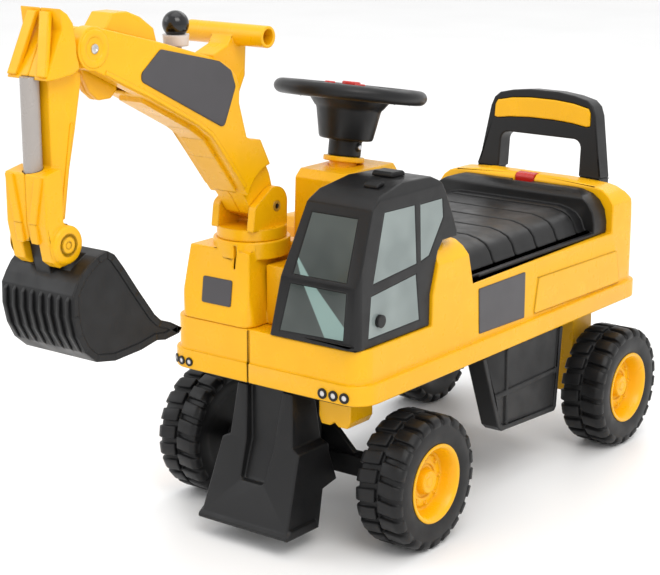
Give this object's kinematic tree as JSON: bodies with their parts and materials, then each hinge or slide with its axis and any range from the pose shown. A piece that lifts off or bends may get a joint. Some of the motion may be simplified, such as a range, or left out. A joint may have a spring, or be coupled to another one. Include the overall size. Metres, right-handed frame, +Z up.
{
  "type": "ride-on toy excavator",
  "caption": "Child's foot-to-floor ride-on excavator with a jointed boom, arm and bucket, cab, steering wheel, padded-look seat lid and rear push handle.",
  "frame": {"origin": "centre of the bounding box in plan, at the floor the wheels stand on", "axes": "+X towards the vehicle's left side, where the cab is; +Y towards its rear, where the push handle is; +Z up. The bucket reaches towards -Y."},
  "size_m": [0.298, 0.766, 0.521],
  "materials": {
    "yellow_plastic": "smooth semi-gloss moulded plastic",
    "black_plastic": "satin moulded plastic",
    "wheel_black": "matt blow-moulded plastic with tread blocks",
    "knob_black": "gloss moulded ball",
    "lever_white": "smooth white moulded plastic",
    "red_plastic": "smooth red moulded plastic",
    "grey_sheet": "dark grey printed sticker",
    "window_sheet": "grey-green printed window sticker with a glossy face",
    "lamp_white": "white printed lamp centre",
    "rod_silver": "silver-grey moulded rod",
    "steel": "plain drawn steel bar"
  },
  "bodies": {
    "body": {"body_shell": "yellow_plastic", "tower_cover": "yellow_plastic", "console": "yellow_plastic", "column_bush": "yellow_plastic", "under_pan": "black_plastic", "step_left": "black_plastic", "step_right": "black_plastic", "front_blade": "black_plastic", "arch_blocks": "yellow_plastic", "cab_shell": "black_plastic", "windscreen_upper": "window_sheet", "windscreen_lower": "window_sheet", "side_windows": "window_sheet", "door_window": "window_sheet", "door_knob": "black_plastic", "roof_hatch": "black_plastic", "roof_lamp": "black_plastic", "lamp_bezels": "black_plastic", "lamp_lenses": "lamp_white", "front_decal": "grey_sheet", "side_decals": "grey_sheet", "storage_bin": "black_plastic", "seat_hinge_pin": "steel", "push_handle": "black_plastic", "handle_grip": "yellow_plastic", "rear_axle": "steel"},
    "steering": {"steering_wheel": "black_plastic", "wheel_pad": "black_plastic", "steering_rod": "steel", "front_fork": "black_plastic", "front_axle": "steel"},
    "horn": {"horn_button": "red_plastic"},
    "sounds": {"sound_buttons": "red_plastic"},
    "seat": {"seat_lid": "black_plastic"},
    "latch": {"latch_button": "red_plastic"},
    "turret": {"turret": "yellow_plastic", "turret_retainer": "black_plastic", "boom_pin": "steel"},
    "boom": {"boom_left": "yellow_plastic", "boom_right": "yellow_plastic", "boom_plates": "grey_sheet", "boom_cover": "yellow_plastic", "t_handle": "yellow_plastic", "arm_pin": "steel"},
    "lever": {"control_lever": "lever_white", "ball_knob": "knob_black"},
    "link": {"link_rod": "black_plastic"},
    "arm": {"arm_left": "yellow_plastic", "arm_right": "yellow_plastic", "cylinder_rod": "rod_silver", "bucket_pin": "steel"},
    "bucket": {"bucket": "black_plastic"},
    "wheel_fl": {"tyre_fl": "wheel_black", "hub_fl": "yellow_plastic"},
    "wheel_fr": {"tyre_fr": "wheel_black", "hub_fr": "yellow_plastic"},
    "wheel_rl": {"tyre_rl": "wheel_black", "hub_rl": "yellow_plastic"},
    "wheel_rr": {"tyre_rr": "wheel_black", "hub_rr": "yellow_plastic"}
  },
  "joints": [
    {"name": "turret_swivel", "type": "hinge", "parent": "body", "child": "turret", "pos_m": [-0.047, -0.095, 0.284], "axis": [0, 0, 1], "range_deg": [-90, 45]},
    {"name": "boom_lift", "type": "hinge", "parent": "turret", "child": "boom", "pos_m": [-0.047, -0.089, 0.314], "axis": [1, 0, 0], "range_deg": [-12, 30]},
    {"name": "arm_swing", "type": "hinge", "parent": "boom", "child": "arm", "pos_m": [-0.047, -0.321, 0.485], "axis": [-1, 0, 0], "range_deg": [-20, 25]},
    {"name": "lever_pull", "type": "hinge", "parent": "boom", "child": "lever", "pos_m": [-0.047, -0.196, 0.44], "axis": [-1, 0, 0], "range_deg": [-20, 25]},
    {"name": "link_turn", "type": "hinge", "parent": "lever", "child": "link", "pos_m": [-0.047, -0.19226, 0.45034], "axis": [-1, 0, 0], "range_deg": [-25, 20]},
    {"name": "bucket_curl", "type": "hinge", "parent": "arm", "child": "bucket", "pos_m": [-0.047, -0.362, 0.327], "axis": [1, 0, 0], "range_deg": [-60, 40]},
    {"name": "steering_turn", "type": "hinge", "parent": "body", "child": "steering", "pos_m": [0, -0.001, 0.414], "axis": [0, 0.165, 0.9863], "range_deg": [-15, 15]},
    {"name": "horn_press", "type": "slide", "parent": "steering", "child": "horn", "axis": [0, -0.165, -0.9863], "range_m": [0, 0.002], "stiffness_N_per_m": 400},
    {"name": "sound_press", "type": "slide", "parent": "steering", "child": "sounds", "axis": [0, -0.165, -0.9863], "range_m": [0, 0.002], "stiffness_N_per_m": 400},
    {"name": "wheel_fl_spin", "type": "hinge", "parent": "steering", "child": "wheel_fl", "pos_m": [0.14, -0.062, 0.065], "axis": [1, 0, 0], "continuous": true},
    {"name": "wheel_fr_spin", "type": "hinge", "parent": "steering", "child": "wheel_fr", "pos_m": [-0.14, -0.062, 0.065], "axis": [1, 0, 0], "continuous": true},
    {"name": "wheel_rl_spin", "type": "hinge", "parent": "body", "child": "wheel_rl", "pos_m": [0.14, 0.31, 0.065], "axis": [1, 0, 0], "continuous": true},
    {"name": "wheel_rr_spin", "type": "hinge", "parent": "body", "child": "wheel_rr", "pos_m": [-0.14, 0.31, 0.065], "axis": [1, 0, 0], "continuous": true},
    {"name": "seat_open", "type": "hinge", "parent": "body", "child": "seat", "pos_m": [0, 0.064, 0.249], "axis": [1, 0, 0], "range_deg": [0, 70]},
    {"name": "latch_press", "type": "slide", "parent": "body", "child": "latch", "axis": [0, 0, -1], "range_m": [0, 0.003], "stiffness_N_per_m": 400}
  ],
  "couplings": [
    {"joint": "lever_pull", "follows": "arm_swing", "ratio": 1},
    {"joint": "link_turn", "follows": "arm_swing", "ratio": -1}
  ]
}
